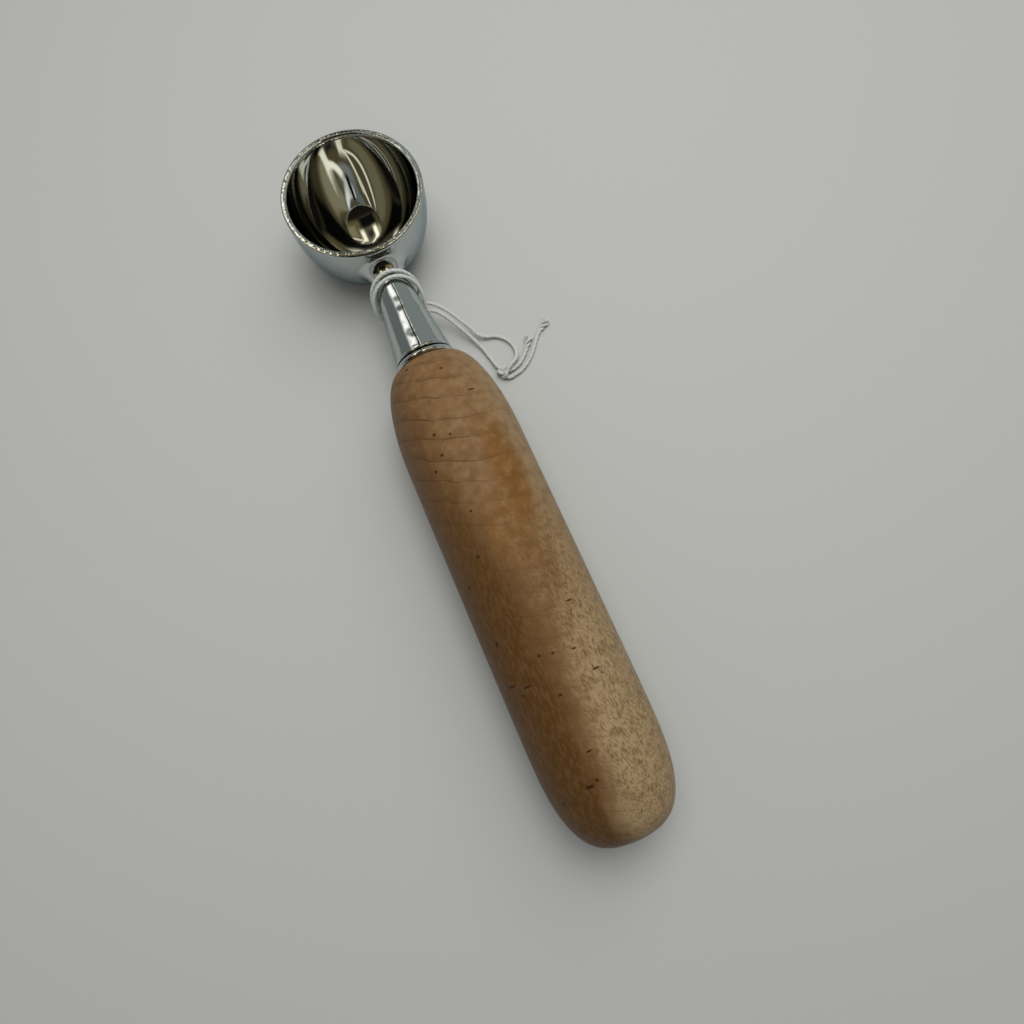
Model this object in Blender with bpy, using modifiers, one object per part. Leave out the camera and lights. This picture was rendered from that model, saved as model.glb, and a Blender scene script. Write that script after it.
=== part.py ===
"""Coffee scoop: a chromed cup brazed to a tapered neck, screwed into a turned maple handle.

A loop of thin twine is hitched round the neck. Units are metres and +Z is up. The scoop lies
level on the base of its cup and the belly of its handle, with the cup toward +Y. The origin
is on the surface under the middle of its length.
"""

import math

import bpy
import numpy as np

# Handle
HANDLE_LENGTH = 0.1265
HANDLE_RADIUS = 0.01585
HANDLE_FRONT_RADIUS = 0.0155
HANDLE_SWELL_PLACE = 0.095
HANDLE_FACE_RADIUS = 0.0081
SHOULDER_LENGTH = 0.0254
SHOULDER_POWER = 2.0
BUTT_LENGTH = 0.0313
BUTT_POWER = 3.2

# Cup
CUP_RADIUS = 0.0190
CUP_HEIGHT = 0.0263
CUP_WALL = 0.0017
CUP_FLOOR = 0.0018
CUP_BASE_RADIUS = 0.005
CUP_POWER = 2.7
CUP_INSIDE_POWER = 1.9
CUP_PLACE = 0.0493
LIP_ROUNDING = 0.0005

# Neck, from the collar to the cup
NECK_BASE_RADIUS = 0.0078
NECK_WAIST_RADIUS = 0.0049
NECK_TAPER_POWER = 1.2
FLARE_BELOW_RIM = 0.00235
NECK_FOOT_EDGE = 0.0003
NECK_EDGE = 0.0003
NECK_LEAN_START = 0.0150

# Collar between the neck and the wood
COLLAR_RADIUS = 0.0082
COLLAR_THICKNESS = 0.0020

# Threaded stud, and the insert that it screws into
STUD_RADIUS = 0.0030
STUD_THREAD_DEPTH = 0.0004
STUD_PITCH = 0.0010
STUD_IN_NECK = 0.010
STUD_IN_HANDLE = 0.012
STUD_CHAMFER = 0.0006
INSERT_LENGTH = 0.014
INSERT_RADIUS = 0.0046
INSERT_RIDGE = 0.0006
INSERT_PITCH = 0.0020
INSERT_FLANGE_RADIUS = 0.0056
INSERT_FLANGE_THICKNESS = 0.0010
BORE_END_ROOM = 0.0020

# Clearance between neighbours
GAP = 0.0003

# Twine
TWINE_RADIUS = 0.00065
HITCH_PLACE = 0.0222
HITCH_SPREAD = 0.00095
HITCH_TILT = 0.53
HITCH_TILT_END = -0.5
HITCH_LOOSENESS = 0.0007
HITCH_SAG = 0.0003
KNOT_PLACE = (0.0194, 0.0253, 0.00145)
KNOT_SIZE = (0.0040, 0.0042, 0.0027)

# How finely round things are cut into facets
TURNED_STEPS = 40
CUP_STEPS = 48
STUD_STEPS = 16
ARC_POINTS = 4
CUP_POINTS = 12
FOOT_RINGS = 4
END_POINTS = 11
BELLY_POINTS = 6
TWINE_POINT_SPACING = 0.0017

# Points at the twines' facing ends in the bight, which their gap leaves out
BIGHT_END_POINTS = 3

# Places that follow from the sizes
AXIS_HEIGHT = HANDLE_RADIUS
FACE_Y = (HANDLE_LENGTH - CUP_PLACE - CUP_RADIUS) / 2
CUP_Y = FACE_Y + CUP_PLACE
NECK_START = COLLAR_THICKNESS + 2 * GAP
NECK_FOOT_RADIUS = CUP_HEIGHT - AXIS_HEIGHT - FLARE_BELOW_RIM
NECK_FILLET = NECK_FOOT_RADIUS - NECK_WAIST_RADIUS
BORE_RADIUS = INSERT_RADIUS + INSERT_RIDGE + GAP
BORE_DEPTH = INSERT_LENGTH + GAP + BORE_END_ROOM
FLANGE_SEAT_RADIUS = INSERT_FLANGE_RADIUS + GAP
FLANGE_SEAT_DEPTH = INSERT_FLANGE_THICKNESS + 2 * GAP
STUD_HOLE_RADIUS = STUD_RADIUS + GAP


def superellipse(share, power):
    """Height of a rounded corner, 0 to 1, at a share 0 to 1 of its length."""
    return (1 - (1 - share) ** power) ** (1 / power)


def arc(centre, radius, start, end, count):
    """Points on an arc in the (radius, height) plane, angles in degrees."""
    angles = np.radians(np.linspace(start, end, count))
    return [(centre[0] + radius * math.cos(a), centre[1] + radius * math.sin(a)) for a in angles]


# Scene and materials


def clear_scene():
    for obj in list(bpy.data.objects):
        bpy.data.objects.remove(obj)


def new_collection(name):
    collection = bpy.data.collections.new(name)
    bpy.context.scene.collection.children.link(collection)
    return collection


def finish(name, colour, roughness, metallic):
    material = bpy.data.materials.new(name)
    material.use_nodes = True
    shader = material.node_tree.nodes["Principled BSDF"]
    shader.inputs["Base Color"].default_value = (*colour, 1.0)
    shader.inputs["Roughness"].default_value = roughness
    shader.inputs["Metallic"].default_value = metallic
    return material


def add_object(name, data, collection, material=None):
    obj = bpy.data.objects.new(name, data)
    collection.objects.link(obj)
    if material is not None:
        data.materials.append(material)
    return obj


def turned(name, profile, closed, steps, collection, material=None):
    """Spins a (radius, height) profile about Z. It runs down its outer side."""
    mesh = bpy.data.meshes.new(name)
    points = [(radius, 0.0, height) for radius, height in profile]
    edges = [(i, i + 1) for i in range(len(points) - 1)]
    if closed:
        edges.append((len(points) - 1, 0))
    mesh.from_pydata(points, edges, [])
    obj = add_object(name, mesh, collection, material)
    screw = obj.modifiers.new("turn", "SCREW")
    screw.steps = steps
    screw.render_steps = steps
    screw.use_merge_vertices = True
    screw.merge_threshold = 0.00001
    screw.use_smooth_shade = True
    return obj


def along_handle(obj, axis_empty):
    """Lays a turned piece along the handle: its height runs from the wood's face to the cup."""
    obj.parent = axis_empty
    return obj


# Cup


def cup_side(radius, top, bottom, base_radius, power):
    """Outline of one side of the cup's wall from the rim down to the edge of its flat base."""
    points = []
    for angle in np.linspace(0, math.pi / 2, CUP_POINTS):
        out = max(math.cos(angle), 0.0) ** (2 / power)
        down = max(math.sin(angle), 0.0) ** (2 / power)
        points.append((base_radius + (radius - base_radius) * out, top - (top - bottom) * down))
    return points


def cup_radius_at(height):
    """Outer radius of the cup at a height above its base."""
    down = (CUP_HEIGHT - height) / CUP_HEIGHT
    return CUP_BASE_RADIUS + (CUP_RADIUS - CUP_BASE_RADIUS) * (1 - down**CUP_POWER) ** (1 / CUP_POWER)


def make_cup(collection, chrome):
    """A cup that is nearly straight outside and egg-shaped inside, so its wall thickens downwards."""
    inner_radius = CUP_RADIUS - CUP_WALL
    lip_height = CUP_HEIGHT - LIP_ROUNDING
    inside = cup_side(inner_radius, lip_height, CUP_FLOOR, 0.0, CUP_INSIDE_POWER)
    outside = cup_side(CUP_RADIUS, lip_height, 0.0, CUP_BASE_RADIUS, CUP_POWER)
    inner_edge = arc((inner_radius + LIP_ROUNDING, lip_height), LIP_ROUNDING, 180, 90, ARC_POINTS)
    outer_edge = arc((CUP_RADIUS - LIP_ROUNDING, lip_height), LIP_ROUNDING, 90, 0, ARC_POINTS)
    profile = inside[::-1] + inner_edge[1:] + outer_edge[:-1] + outside + [(0.0, 0.0)]
    cup = turned("cup", profile, False, CUP_STEPS, collection, chrome)
    cup.location = (0, CUP_Y, 0)
    return cup


# Neck and collar


def cup_wall_place(x, height):
    """Distance from the wood's face to the near side of the cup's wall, beside the axis by x."""
    return CUP_PLACE - math.sqrt(cup_radius_at(height) ** 2 - x**2)


def foot_place():
    """Distance from the wood's face to the end of the neck, a gap short of the cup."""
    return cup_wall_place(0.0, AXIS_HEIGHT) - GAP


def waist_place():
    """Distance from the wood's face to the neck's waist, where the flare to the cup starts."""
    return foot_place() - NECK_FOOT_EDGE - NECK_FILLET


def neck_radius_at(place):
    """Radius of the neck between its base and its waist."""
    share = min(max((waist_place() - place) / (waist_place() - NECK_START), 0.0), 1.0)
    return NECK_WAIST_RADIUS + (NECK_BASE_RADIUS - NECK_WAIST_RADIUS) * share**NECK_TAPER_POWER


def neck_outline():
    """Side of the neck from the middle of its foot, out over the flare and down to the collar."""
    points = [(share * NECK_FOOT_RADIUS, foot_place()) for share in np.linspace(0, 1, FOOT_RINGS)]
    points += arc((NECK_FOOT_RADIUS, waist_place()), NECK_FILLET, 90, 180, 2 * ARC_POINTS)
    for place in np.linspace(waist_place(), NECK_START + NECK_EDGE, 2 * ARC_POINTS)[1:]:
        points.append((neck_radius_at(place), place))
    points.append((NECK_BASE_RADIUS - NECK_EDGE, NECK_START))
    return points


def follow_cup(neck):
    """Moves the turned rings along the neck, so that its foot and its flare follow the round cup."""
    bpy.context.view_layer.objects.active = neck
    bpy.ops.object.modifier_apply(modifier="turn")
    for vertex in neck.data.vertices:
        share = (vertex.co.z - NECK_LEAN_START) / (waist_place() - NECK_LEAN_START)
        if share <= 0:
            continue
        wall = cup_wall_place(vertex.co.x, AXIS_HEIGHT - vertex.co.y)
        vertex.co.z += min(share, 1.0) ** 2 * (wall - cup_wall_place(0.0, AXIS_HEIGHT))


def make_neck(collection, chrome, axis_empty):
    hole_end = NECK_START + STUD_IN_NECK + GAP
    hole_tip = hole_end + STUD_HOLE_RADIUS / 2
    hole = [(STUD_HOLE_RADIUS, NECK_START), (STUD_HOLE_RADIUS, hole_end), (0.0, hole_tip)]
    neck = turned("neck", neck_outline() + hole, False, TURNED_STEPS, collection, chrome)
    follow_cup(neck)
    return along_handle(neck, axis_empty)


def make_collar(collection, chrome, axis_empty):
    half = COLLAR_THICKNESS / 2
    middle = GAP + half
    rim = arc((COLLAR_RADIUS - half, middle), half, 90, -90, 2 * ARC_POINTS)
    profile = rim + [(STUD_HOLE_RADIUS, GAP), (STUD_HOLE_RADIUS, GAP + COLLAR_THICKNESS)]
    return along_handle(turned("collar", profile, True, TURNED_STEPS, collection, chrome), axis_empty)


# Stud and insert


def ridges(outer, depth, top, bottom, pitch):
    """Thread ridges down the outside, each a peak and a root."""
    count = max(int((top - bottom) / pitch), 1)
    step = (top - bottom) / count
    points = []
    for turn in range(count):
        points.append((outer, top - step * (turn + 0.25)))
        points.append((outer - depth, top - step * (turn + 0.75)))
    return points


def make_stud(collection, steel, axis_empty):
    top = NECK_START + STUD_IN_NECK
    bottom = -STUD_IN_HANDLE
    root = STUD_RADIUS - STUD_THREAD_DEPTH
    tip = root - STUD_CHAMFER
    thread = ridges(STUD_RADIUS, STUD_THREAD_DEPTH, top - STUD_CHAMFER, bottom + STUD_CHAMFER, STUD_PITCH)
    profile = [(0.0, top), (tip, top), (root, top - STUD_CHAMFER)] + thread
    profile += [(root, bottom + STUD_CHAMFER), (tip, bottom), (0.0, bottom)]
    return along_handle(turned("stud", profile, False, STUD_STEPS, collection, steel), axis_empty)


def make_insert(collection, brass, axis_empty):
    top = -GAP
    flange_bottom = top - INSERT_FLANGE_THICKNESS
    bottom = top - INSERT_LENGTH
    thread = ridges(INSERT_RADIUS + INSERT_RIDGE, INSERT_RIDGE, flange_bottom, bottom, INSERT_PITCH)
    profile = [(INSERT_FLANGE_RADIUS, top), (INSERT_FLANGE_RADIUS, flange_bottom)]
    profile += [(INSERT_RADIUS, flange_bottom)] + thread + [(INSERT_RADIUS, bottom)]
    profile += [(STUD_HOLE_RADIUS, bottom), (STUD_HOLE_RADIUS, top)]
    return along_handle(turned("threaded_insert", profile, True, STUD_STEPS, collection, brass), axis_empty)


# Handle


def belly_radius(distance):
    """Radius of the handle's long middle at a distance from its face."""
    share = min(distance / HANDLE_SWELL_PLACE, 1.0)
    swell = math.sin(math.pi / 2 * share) ** 2
    return HANDLE_FRONT_RADIUS + (HANDLE_RADIUS - HANDLE_FRONT_RADIUS) * swell


def handle_outline():
    """Outer side of the handle from the edge of its face down to the tip of the butt."""
    points = []
    for share in 1 - np.cos(np.linspace(0, math.pi / 2, END_POINTS)):
        distance = SHOULDER_LENGTH * share
        rise = superellipse(share, SHOULDER_POWER)
        radius = HANDLE_FACE_RADIUS + (belly_radius(distance) - HANDLE_FACE_RADIUS) * rise
        points.append((radius, -distance))
    butt_start = HANDLE_LENGTH - BUTT_LENGTH
    for distance in np.linspace(SHOULDER_LENGTH, butt_start, BELLY_POINTS)[1:]:
        points.append((belly_radius(distance), -distance))
    for angle in np.linspace(0, math.pi / 2, END_POINTS)[1:]:
        out = max(math.cos(angle), 0.0) ** (2 / BUTT_POWER)
        along = math.sin(angle) ** (2 / BUTT_POWER)
        points.append((HANDLE_RADIUS * out, -butt_start - BUTT_LENGTH * along))
    points[-1] = (0.0, -HANDLE_LENGTH)
    return points


def make_handle(collection, maple, axis_empty):
    bore = [
        (0.0, -BORE_DEPTH),
        (BORE_RADIUS, -BORE_DEPTH + BORE_END_ROOM / 2),
        (BORE_RADIUS, -FLANGE_SEAT_DEPTH),
        (FLANGE_SEAT_RADIUS, -FLANGE_SEAT_DEPTH),
        (FLANGE_SEAT_RADIUS, 0.0),
    ]
    profile = bore + handle_outline()
    handle = turned("handle", profile, False, TURNED_STEPS, collection, maple)
    return along_handle(handle, axis_empty)


# Twine


def hitch_radius(place):
    """How far the twine's middle lies from the neck's axis."""
    return neck_radius_at(place) + TWINE_RADIUS + GAP + HITCH_LOOSENESS / 2


def hitch_lean(rise):
    """How far a point of the hitch, higher than the axis by rise radii, lies toward the cup."""
    return HITCH_TILT * hitch_radius(HITCH_PLACE) * max(rise, HITCH_TILT_END)


def hitch_route(side):
    """Half of the hitch, from the bight under the neck, over its top and out below. side is 1 or -1."""
    bight_radius = hitch_radius(HITCH_PLACE)
    bight = [
        (0.64, 0.00020, -1.45),
        (0.68, 0.00165, -1.42),
        (0.74, 0.00290, -1.18),
        (0.84, 0.00290, -0.82),
        (0.99, 0.00190, -0.30),
    ]
    route = []
    for x, spread, rise in bight:
        place = HITCH_PLACE + side * spread + hitch_lean(rise)
        route.append((x * bight_radius, FACE_Y + place, AXIS_HEIGHT + rise * bight_radius))
    for angle in np.radians(np.arange(20, 271, 35)):
        place = HITCH_PLACE + side * HITCH_SPREAD + hitch_lean(math.sin(angle))
        x = hitch_radius(place) * math.cos(angle)
        z = hitch_radius(place) * math.sin(angle) - HITCH_SAG
        route.append((x, FACE_Y + place, AXIS_HEIGHT + z))
    return route


LEAD_ROUTE = [
    (0.0025, 0.0506, 0.0088),
    (0.0050, 0.0506, 0.0088),
    (0.0070, 0.0504, 0.0082),
    (0.0087, 0.0497, 0.0075),
    (0.0104, 0.0482, 0.0069),
    (0.0120, 0.0464, 0.0060),
    (0.0133, 0.0446, 0.0050),
    (0.0147, 0.0425, 0.0039),
    (0.0160, 0.0407, 0.0027),
    (0.0170, 0.0388, 0.0019),
    (0.0189, 0.0374, 0.0012),
    (0.0213, 0.0367, 0.0008),
    (0.0235, 0.0351, 0.0007),
    (0.0248, 0.0331, 0.0007),
    (0.0253, 0.0307, 0.0008),
    (0.0249, 0.0286, 0.0014),
    (0.0236, 0.0270, 0.0022),
    (0.0219, 0.0261, 0.0026),
]
RETURN_ROUTE = [
    (0.0025, 0.0488, 0.0088),
    (0.0048, 0.0486, 0.0086),
    (0.0070, 0.0481, 0.0078),
    (0.0089, 0.0475, 0.0066),
    (0.0105, 0.0457, 0.0057),
    (0.0118, 0.0440, 0.0047),
    (0.0132, 0.0418, 0.0036),
    (0.0146, 0.0395, 0.0024),
    (0.0158, 0.0371, 0.0016),
    (0.0168, 0.0348, 0.0010),
    (0.0175, 0.0321, 0.0008),
    (0.0180, 0.0299, 0.0008),
    (0.0184, 0.0280, 0.0011),
]
LONG_TAIL_ROUTE = [
    (0.0220, 0.0235, 0.0008),
    (0.0240, 0.0239, 0.0007),
    (0.0265, 0.0252, 0.0007),
    (0.0290, 0.0273, 0.0007),
    (0.0311, 0.0298, 0.0007),
    (0.0331, 0.0322, 0.0007),
    (0.0353, 0.0338, 0.0007),
    (0.0371, 0.0348, 0.0007),
]
SHORT_TAIL_ROUTE = [
    (0.0228, 0.0254, 0.0008),
    (0.0248, 0.0262, 0.0007),
    (0.0267, 0.0277, 0.0007),
    (0.0285, 0.0298, 0.0007),
    (0.0302, 0.0323, 0.0007),
]


def route_slopes(points, gaps):
    """Direction of a smooth curve at each of its points."""
    steps = np.diff(points, axis=0) / gaps[:, None]
    inner = (steps[:-1] * gaps[1:, None] + steps[1:] * gaps[:-1, None]) / (gaps[1:] + gaps[:-1])[:, None]
    return np.vstack([steps[:1], inner, steps[-1:]])


def smooth_route(points):
    """Points along a smooth curve through the route's own points."""
    points = np.array(points, float)
    gaps = np.linalg.norm(np.diff(points, axis=0), axis=1)
    slopes = route_slopes(points, gaps)
    curve = []
    for i, gap in enumerate(gaps):
        count = max(int(round(gap / TWINE_POINT_SPACING)), 1)
        for share in np.arange(count) / count:
            ends = (1 + 2 * share) * (1 - share) ** 2, share**2 * (3 - 2 * share)
            pulls = share * (1 - share) ** 2 * gap, share**2 * (share - 1) * gap
            here = ends[0] * points[i] + ends[1] * points[i + 1]
            curve.append(here + pulls[0] * slopes[i] + pulls[1] * slopes[i + 1])
    curve.append(points[-1])
    return np.array(curve)


def make_twine(name, route, collection, cotton):
    curve = bpy.data.curves.new(name, "CURVE")
    curve.dimensions = "3D"
    curve.bevel_depth = TWINE_RADIUS
    curve.bevel_resolution = 2
    curve.use_fill_caps = True
    spline = curve.splines.new("POLY")
    spline.points.add(len(route) - 1)
    for point, place in zip(spline.points, route):
        point.co = (*place, 1.0)
    return add_object(name, curve, collection, cotton)


def gap_to_itself(route):
    """Least clear distance from a twine to itself further along."""
    apart = np.linalg.norm(route[:, None] - route[None], axis=2)
    walked = np.concatenate([[0], np.cumsum(np.linalg.norm(np.diff(route, axis=0), axis=1))])
    near = np.abs(walked[:, None] - walked[None]) < 8 * TWINE_RADIUS
    return np.where(near, np.inf, apart).min() - 2 * TWINE_RADIUS


def gap_between(route, other):
    """Least clear distance between two twines beyond the bight, where their ends face each other."""
    beyond = BIGHT_END_POINTS
    apart = np.linalg.norm(route[beyond:, None] - other[None, beyond:], axis=2)
    return apart.min() - 2 * TWINE_RADIUS


def make_knot(collection, cotton):
    bpy.ops.mesh.primitive_ico_sphere_add(subdivisions=2, radius=0.5)
    knot = bpy.context.object
    knot.name = "twine_knot"
    knot.data.name = "twine_knot"
    knot.scale = KNOT_SIZE
    knot.location = KNOT_PLACE
    knot.data.materials.append(cotton)
    knot.data.shade_smooth()
    bpy.context.collection.objects.unlink(knot)
    collection.objects.link(knot)
    return knot


def make_all_twine(collection, cotton):
    lead = smooth_route(hitch_route(1) + LEAD_ROUTE)
    back = smooth_route(hitch_route(-1) + RETURN_ROUTE)
    long_tail = smooth_route(LONG_TAIL_ROUTE)
    short_tail = smooth_route(SHORT_TAIL_ROUTE)
    make_twine("twine_lead", lead, collection, cotton)
    make_twine("twine_return", back, collection, cotton)
    make_twine("twine_long_tail", long_tail, collection, cotton)
    make_twine("twine_short_tail", short_tail, collection, cotton)
    make_knot(collection, cotton)
    print("least gap of the lead to itself, mm", round(gap_to_itself(lead) * 1000, 2))
    print("least gap of the return to itself, mm", round(gap_to_itself(back) * 1000, 2))
    print("least gap between lead and return, mm", round(gap_between(lead, back) * 1000, 2))


def main():
    clear_scene()
    scoop = new_collection("coffee_scoop")
    axis_empty = add_object("handle_axis", None, scoop)
    axis_empty.location = (0, FACE_Y, AXIS_HEIGHT)
    axis_empty.rotation_euler = (-math.pi / 2, 0, 0)
    chrome = finish("chrome", (0.72, 0.73, 0.74), 0.06, 1.0)
    steel = finish("steel", (0.52, 0.52, 0.53), 0.35, 1.0)
    brass = finish("brass", (0.72, 0.53, 0.25), 0.35, 1.0)
    maple = finish("maple", (0.46, 0.29, 0.15), 0.5, 0.0)
    cotton = finish("cotton", (0.78, 0.77, 0.72), 0.9, 0.0)
    make_cup(scoop, chrome)
    make_neck(scoop, chrome, axis_empty)
    make_collar(scoop, chrome, axis_empty)
    make_stud(scoop, steel, axis_empty)
    make_insert(scoop, brass, axis_empty)
    make_handle(scoop, maple, axis_empty)
    make_all_twine(scoop, cotton)


main()
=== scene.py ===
# %% [markdown]
# # A coffee scoop with a turned maple handle
# The real scoop is a deep chromed cup on a tapered neck, screwed into one thick stick of
# maple, with a thin loop of string hitched round the neck. The frame that comes first holds
# its plain solids. Every piece made below takes the place of one or two of them, at the same
# size.

# %% The frame
import math

import bpy
import numpy as np
from mathutils import Matrix, Vector


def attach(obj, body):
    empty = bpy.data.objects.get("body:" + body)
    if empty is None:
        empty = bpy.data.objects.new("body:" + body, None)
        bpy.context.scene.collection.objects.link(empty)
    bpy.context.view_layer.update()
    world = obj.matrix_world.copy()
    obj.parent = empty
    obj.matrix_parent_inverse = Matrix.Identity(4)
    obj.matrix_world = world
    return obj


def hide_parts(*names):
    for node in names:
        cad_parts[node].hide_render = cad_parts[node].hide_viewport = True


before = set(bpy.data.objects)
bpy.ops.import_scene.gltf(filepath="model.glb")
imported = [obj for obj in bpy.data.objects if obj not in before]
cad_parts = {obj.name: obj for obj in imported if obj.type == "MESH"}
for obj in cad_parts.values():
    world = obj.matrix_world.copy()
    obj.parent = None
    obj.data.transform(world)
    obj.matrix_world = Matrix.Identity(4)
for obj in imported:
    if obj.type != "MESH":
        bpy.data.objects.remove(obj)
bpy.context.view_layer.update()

print("frame:", sorted(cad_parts))

# %% [markdown]
# ## Where the camera stands
# The photograph was taken by hand from almost straight above. The place and the turn of the
# camera were found by fitting the cup's rim, the neck and the handle's outline to it, so they
# are set here as numbers: its right, up and back directions are the columns of a matrix.

# %% Camera
CAMERA_PLACE = Vector((-0.00588, -0.0545, 0.2059))
CAMERA_LOOK = Vector((0.05365, 0.20027, -0.97827))
CAMERA_UP = Vector((0.3996, 0.89351, 0.20483))
LENS = 27.07


def add_camera():
    camera = bpy.data.objects.new("camera", bpy.data.cameras.new("camera"))
    bpy.context.scene.collection.objects.link(camera)
    back = -CAMERA_LOOK.normalized()
    right = CAMERA_UP.cross(back).normalized()
    turn = Matrix((right, back.cross(right), back)).transposed()
    camera.matrix_world = Matrix.Translation(CAMERA_PLACE) @ turn.to_4x4()
    camera.data.lens = LENS
    camera.data.clip_start = 0.01
    bpy.context.scene.camera = camera
    return camera


camera = add_camera()
print("camera at", tuple(round(x, 4) for x in camera.location))

# %% [markdown]
# ## Sizes
# These are the sizes that the solids were made with, in metres. The scoop lies level along Y,
# with the belly of its handle and the base of its cup on the surface at height zero. Places on
# the handle and the neck are distances from the wood's end face, positive towards the cup.

# %% Sizes
AXIS_HEIGHT = 0.01585
FACE_Y = 0.0291
CUP_Y = 0.0784
HANDLE_LENGTH = 0.1265
HANDLE_RADIUS = 0.01585
CUP_RADIUS = 0.0190
CUP_HEIGHT = 0.0263
CUP_BASE_RADIUS = 0.005
CUP_POWER = 2.7
NECK_WAIST_RADIUS = 0.0049
NECK_BASE_RADIUS = 0.0078
NECK_FILLET = 0.0032
GAP = 0.0003
AXIS_START = Vector((0, FACE_Y, AXIS_HEIGHT))
ALONG_HANDLE = Vector((0, 1, 0))
UP = Vector((0, 0, 1))


def along(place, radius):
    """A point of a profile beside the handle's line."""
    return Vector((radius, FACE_Y + place, AXIS_HEIGHT))


def above_cup(height, radius):
    """A point of a profile beside the cup's upright line."""
    return Vector((radius, CUP_Y, height))


print("scoop length", round(HANDLE_LENGTH + CUP_Y - FACE_Y + CUP_RADIUS, 4))

# %% [markdown]
# ## Turning a profile
# A lathe makes a round piece from one outline, and Spin does the same in Blender. A plane is
# merged to a single vertex, which is extruded from point to point along the outline, and the
# outline is spun about the piece's line. Then its doubles are merged and its faces made to
# point outwards. A cylinder, scaled ring by ring, could be shaped the same, but an outline can
# be read like a drawing. Points close together at the corners keep the shine there crisp.

# %% Lathe
CURVE_POINTS = 60
CUP_STEPS = 160
TURN_STEPS = 128


def deselect_all():
    bpy.ops.object.select_all(action="DESELECT")


def turn_piece(name, outline, line_point, line, steps):
    """Spins an outline, a list of points, about a line and returns the finished piece."""
    deselect_all()
    bpy.ops.mesh.primitive_plane_add(size=0.001, location=outline[0])
    piece = bpy.context.object
    piece.name = name
    bpy.ops.object.mode_set(mode="EDIT")
    bpy.ops.mesh.select_all(action="SELECT")
    bpy.ops.mesh.merge(type="CENTER")
    for here, there in zip(outline, outline[1:]):
        bpy.ops.mesh.extrude_vertices_move(TRANSFORM_OT_translate={"value": there - here})
    bpy.ops.mesh.select_all(action="SELECT")
    bpy.ops.mesh.spin(steps=steps, angle=2 * math.pi, center=line_point, axis=line)
    bpy.ops.mesh.select_all(action="SELECT")
    bpy.ops.mesh.remove_doubles(threshold=0.000002)
    bpy.ops.mesh.normals_make_consistent(inside=False)
    bpy.ops.object.mode_set(mode="OBJECT")
    bpy.ops.object.transform_apply(location=True, rotation=True, scale=True)
    bpy.ops.object.shade_smooth_by_angle(angle=math.radians(40))
    print(name, "faces:", len(piece.data.polygons))
    return piece


def corner(centre, radius, start, end, count):
    """(place, radius) pairs round a corner, from an angle of 0 degrees outwards to 90 forwards."""
    angles = np.radians(np.linspace(start, end, count))
    return [(centre[0] + radius * math.sin(a), centre[1] + radius * math.cos(a)) for a in angles]


# %% [markdown]
# ## The cup
# The cup is a cast shell, turned and plated: steep sides outside that round in to a small
# flat base, an egg-shaped hollow inside, and a lip that is rounded on both edges. Half a
# sphere with a Solidify modifier would be quicker, but its wall would be the same all over.
# Here both sides are superellipses, which sit between an ellipse and a box, so one power sets
# how full each is.

# %% Cup
CUP_WALL = 0.0017
CUP_FLOOR = 0.0018
LIP_ROUNDING = 0.0005
CUP_INSIDE_POWER = 1.9


def cup_side(radius, top, bottom, base_radius, power):
    """(height, radius) pairs of one side of the wall, from the lip down to the flat base."""
    pairs = []
    for angle in np.linspace(0, math.pi / 2, CURVE_POINTS):
        out = max(math.cos(angle), 0.0) ** (2 / power)
        down = max(math.sin(angle), 0.0) ** (2 / power)
        pairs.append((top - (top - bottom) * down, base_radius + (radius - base_radius) * out))
    return pairs


def cup_outline():
    """The cup's outline, from the middle of the floor inside, over the lip to the base below."""
    lip = CUP_HEIGHT - LIP_ROUNDING
    inner = CUP_RADIUS - CUP_WALL
    pairs = cup_side(inner, lip, CUP_FLOOR, 0.0, CUP_INSIDE_POWER)[::-1]
    pairs += corner((lip, inner + LIP_ROUNDING), LIP_ROUNDING, 180, 90, 6)[1:]
    pairs += corner((lip, CUP_RADIUS - LIP_ROUNDING), LIP_ROUNDING, 90, 0, 6)
    pairs += cup_side(CUP_RADIUS, lip, 0.0, CUP_BASE_RADIUS, CUP_POWER)[1:] + [(0.0, 0.0)]
    return [above_cup(*pair) for pair in pairs]


cup = turn_piece("chromed_cup", cup_outline(), Vector((0, CUP_Y, 0)), UP, CUP_STEPS)
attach(cup, "root")
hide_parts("cup")

# %% [markdown]
# ## The neck
# The neck is turned too, from the collar up to its waist. Beyond the waist it flares, and on
# the real scoop the plating runs over the joint, so no seam shows. A Boolean could join the
# two, but it would leave thin faces that a mirror finish shows. So after turning, the flared
# rings are moved along the neck, until the last one lies on the round wall of the cup. The
# solid's foot stops a gap short of the cup, and this one is sunk a little way into it.

# %% Neck
COLLAR_THICKNESS = 0.0020
NECK_START = COLLAR_THICKNESS + 2 * GAP
NECK_FOOT_EDGE = 0.0003
NECK_EDGE = 0.0003
NECK_TAPER_POWER = 1.2
NECK_LEAN_START = 0.0150
STUD_HOLE_RADIUS = 0.0033
STUD_HOLE_DEPTH = 0.0103
FOOT_SINK = 0.00005
FOOT_DEPTH = 0.0008
FLARE_POINTS = 28
TAPER_POINTS = 40


def cup_radius_at(height):
    """The cup's outer radius at a height."""
    down = min(max((CUP_HEIGHT - height) / CUP_HEIGHT, 0.0), 1.0)
    out = (1 - down**CUP_POWER) ** (1 / CUP_POWER)
    return CUP_BASE_RADIUS + (CUP_RADIUS - CUP_BASE_RADIUS) * out


def cup_wall_place(x, height):
    """How far the near side of the cup's wall is from the wood's face, beside the axis by x."""
    return CUP_Y - FACE_Y - math.sqrt(max(cup_radius_at(height) ** 2 - x**2, 0.0))


WALL_PLACE = cup_wall_place(0.0, AXIS_HEIGHT)
WAIST_PLACE = WALL_PLACE - GAP - NECK_FOOT_EDGE - NECK_FILLET


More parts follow.
